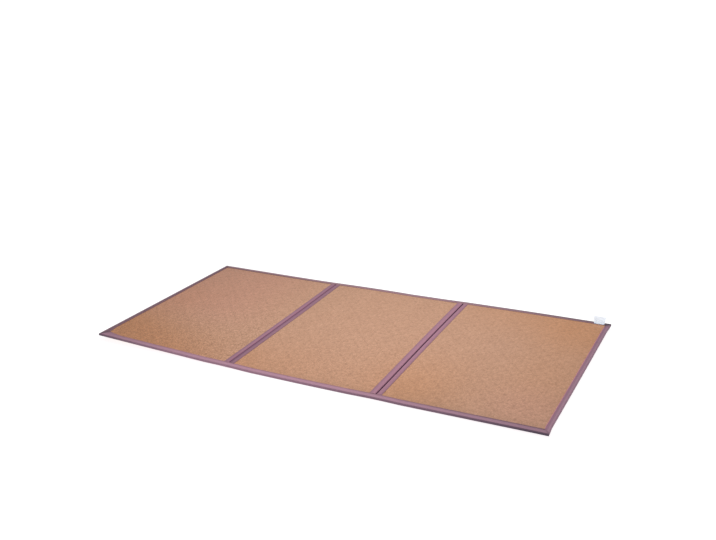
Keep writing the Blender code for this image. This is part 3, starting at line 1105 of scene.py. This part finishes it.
def makeHinge(fold):
    half = mat["foldGap"] / 2 - mat["seat"]
    inner = half - mat["cloth"]
    top, leg = hinge["webTop"][fold], hinge["leg"][fold]
    near, far = (top, top - mat["cloth"]) if leg < 0 else (top - mat["cloth"], top)
    end = top + leg
    profile = [(-half, near), (-half * 0.4, near), (half * 0.4, near), (half, near), (half, end)]
    profile += [(inner, end), (inner, far), (0, far), (-inner, far), (-inner, end), (-half, end)]
    profile = np.array(profile)
    length = matWidth - 2 * mat["edgeRound"]
    strip = sweepProfile(f"fold_{fold}_hinge_cloth", profile, length, hinge["step"])
    places = points(strip)
    index = nearestProfile(places, profile)
    arc = np.concatenate([[0], np.cumsum(np.linalg.norm(np.diff(profile, axis=0), axis=1))])[index]
    along, across, height = places.T
    middle = 1 - np.clip(abs(across) / half, 0, 1)
    inwards = -1 if leg < 0 else 1
    height = height + inwards * hinge["sag"] * middle * (0.6 + 0.4 * wander(along, 0.03, 300 + fold))
    x = foldX[fold] + across
    y = mat["front"] + mat["edgeRound"] + along
    setPoints(strip, laid(x, y, height))
    addLayer(strip, "clothPlace", along, arc)
    addLayer(strip, "dye", *np.ones((3, len(along))))
    # painted shade on the hinge cloth's sides down in the fold
    addLayer(strip, "paintedShade", 0.3 * (abs(across) > inner))
    finishPiece(strip, plumCloth, [f"hinge_cloth_{fold}"])
    print("hinge cloth", fold, "made")


for fold in (1, 2):
    makeHinge(fold)


# label

label = {
    "width": 0.044,
    "end": 0.0205,         # from the mat's right end
    "rootIn": 0.0030,      # the sewn end lies this far back from the binding's inner edge
    "rootWidth": 0.84,     # the sewn end is drawn in, as a share of the width
    "thick": 0.0008,
    "root": 0.0025,
    "bend": 0.008,
    "lean": 70,
    "run": 0.020,
    "steps": (22, 26),
    "curl": 0.0012,        # one corner curls over more than the other
    "hem": 0.0015,
    "glow": 0.003,
    "paintedGlow": (0.35, 0.62, 1.00, 1),   # colour of a painted glow that makes the white satin bluish
    "paintedGlowStrength": 0.18,
    "colour": (0.925, 0.960, 1.000, 1),
    "shade": (0.860, 0.910, 1.000, 1),
}


def makeLabelMaterial():
    material, tree, shader = newMaterial("labelSatin")
    place = attribute(tree, "clothPlace", "Vector")
    satin = useGroup(tree, plainCloth, Place=scaled(tree, place, (1, 0.35, 1)), Pitch=0.0003)
    drift = noise(tree, place, 60)
    tone = plus(tree, times(tree, satin["Tone"], 0.4), drift, 0.6)
    base = mixColour(tree, tone, label["shade"], label["colour"])
    base = mixColour(tree, attribute(tree, "paintedShade", "Fac"), base, label["shade"])
    looks = {"Base Color": base, "Roughness": plus(tree, 0.40, satin["Tone"], 0.2)}
    looks["Normal"] = bump(tree, satin["Height"], 0.00006)
    # thin enough for light to come through
    looks.update({"Subsurface Weight": 1, "Subsurface Radius": (1, 1, 1), "Subsurface Scale": label["glow"]})
    # a painted glow: the label gives off a little bluish light of its own
    looks.update({"Emission Color": label["paintedGlow"], "Emission Strength": label["paintedGlowStrength"]})
    setInputs(tree, shader, looks)
    return material


def makeLabel():
    across, along = label["steps"]
    piece = newPrimitive(
        bpy.ops.mesh.primitive_grid_add, "bare_label", x_subdivisions=across, y_subdivisions=along, size=1
    )
    places = points(piece)
    turnLength = label["bend"] * radians(label["lean"])
    length = label["root"] + turnLength + label["run"]
    side = places[:, 0] + 0.5
    run = (places[:, 1] + 0.5) * length
    turn = np.clip((run - label["root"]) / label["bend"], 0, radians(label["lean"]))
    straight = np.clip(run - label["root"] - turnLength, 0, None)
    y = np.minimum(run, label["root"]) + label["bend"] * np.sin(turn) + straight * np.cos(turn)
    z = label["bend"] * (1 - np.cos(turn)) + straight * np.sin(turn)
    # the free end bows between its corners
    free = (straight / label["run"]) ** 2
    y = y - label["curl"] * free * (1 - side) ** 2 * 1.4 + label["curl"] * free * 0.8 * np.sin(pi * side)
    drawnIn = label["rootWidth"] + (1 - label["rootWidth"]) * smooth(run / length)
    x = mat["right"] - label["end"] - label["width"] * (0.5 + (0.5 - side) * drawnIn)
    y = mat["back"] - flaps["back"] + label["rootIn"] + y
    setPoints(piece, laid(x, y, mat["thick"] + mat["seat"] + 0.0004 + z))
    addLayer(piece, "clothPlace", side * label["width"], run)
    # painted shade along the hems and at the root's bend
    hems = [np.exp(-(((end * label["width"] - label["hem"]) / 0.0006) ** 2)) for end in (side, 1 - side)]
    root = 0.8 * np.exp(-(((run - label["hem"]) / 0.0007) ** 2))
    addLayer(piece, "paintedShade", np.maximum(np.maximum(*hems), root))
    solid = piece.modifiers.new("thickness", "SOLIDIFY")
    solid.thickness = label["thick"]
    solid.offset = 0
    applyModifier(piece, solid)
    finishPiece(piece, makeLabelMaterial(), ["label"])
    print("label made")


makeLabel()


# floor, light and camera

studio = {
    "floorColour": (0.42, 0.42, 0.42, 1),
    "floorGlow": (0.84, 0.90),        # near the mat and far from it
    "glowReach": (1.3, 4.0),
    "world": 0.48,
    "softbox": {"place": (0.12, 0.06, 1.48), "size": 0.95, "power": 14.4},
    "camera": {"place": (1.509, -2.829, 1.489), "turn": 27.580, "down": 20.816, "roll": -2.007, "lens": 45.2},
}


def makeStudio():
    floor = newPrimitive(bpy.ops.mesh.primitive_plane_add, "studio_floor", size=80, location=(0, 0, -0.0004))
    material, tree, shader = newMaterial("paleFloor")
    coordinates = tree.nodes.new("ShaderNodeTexCoord")
    mottle = noise(tree, coordinates.outputs["Object"], 3)
    looks = {"Base Color": studio["floorColour"], "Roughness": plus(tree, 0.85, mottle, 0.1)}
    # far off it is as white as where the softbox reaches
    distance = tree.nodes.new("ShaderNodeVectorMath")
    distance.operation = "LENGTH"
    tree.links.new(coordinates.outputs["Object"], distance.inputs[0])
    far = ramp(tree, distance.outputs["Value"], *studio["glowReach"])
    near, most = ((glow, glow, glow, 1) for glow in studio["floorGlow"])
    looks.update({"Emission Color": mixColour(tree, far, near, most), "Emission Strength": 1})
    setInputs(tree, shader, {**looks, "Specular IOR Level": 0.1})
    floor.data.materials.append(material)
    floor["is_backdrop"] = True
    world = bpy.data.worlds.new("softSurround")
    bpy.context.scene.world = world
    world.use_nodes = True
    background = world.node_tree.nodes["Background"]
    setInputs(world.node_tree, background, {"Color": (1, 1, 1, 1), "Strength": studio["world"]})
    box = studio["softbox"]
    bpy.ops.object.light_add(type="AREA", location=box["place"])
    softbox = bpy.context.object
    softbox.name = "softbox"
    softbox.data.size = box["size"]
    softbox.data.energy = box["power"]
    view = studio["camera"]
    bpy.ops.object.camera_add(location=view["place"])
    camera = bpy.context.object
    turned = Matrix.Rotation(radians(view["turn"]), 4, "Z")
    turned = turned @ Matrix.Rotation(pi / 2 - radians(view["down"]), 4, "X")
    turned = turned @ Matrix.Rotation(radians(view["roll"]), 4, "Z")
    camera.matrix_world = Matrix.Translation(view["place"]) @ turned
    camera.data.lens = view["lens"]
    camera.data.sensor_width = 36
    camera.data.clip_end = 200
    bpy.context.scene.camera = camera
    bpy.context.scene.view_settings.view_transform = "Standard"
    print("floor, light and camera made")


makeStudio()

triangles = sum(sum(len(face.vertices) - 2 for face in o.data.polygons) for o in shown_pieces())
print("triangles:", triangles)
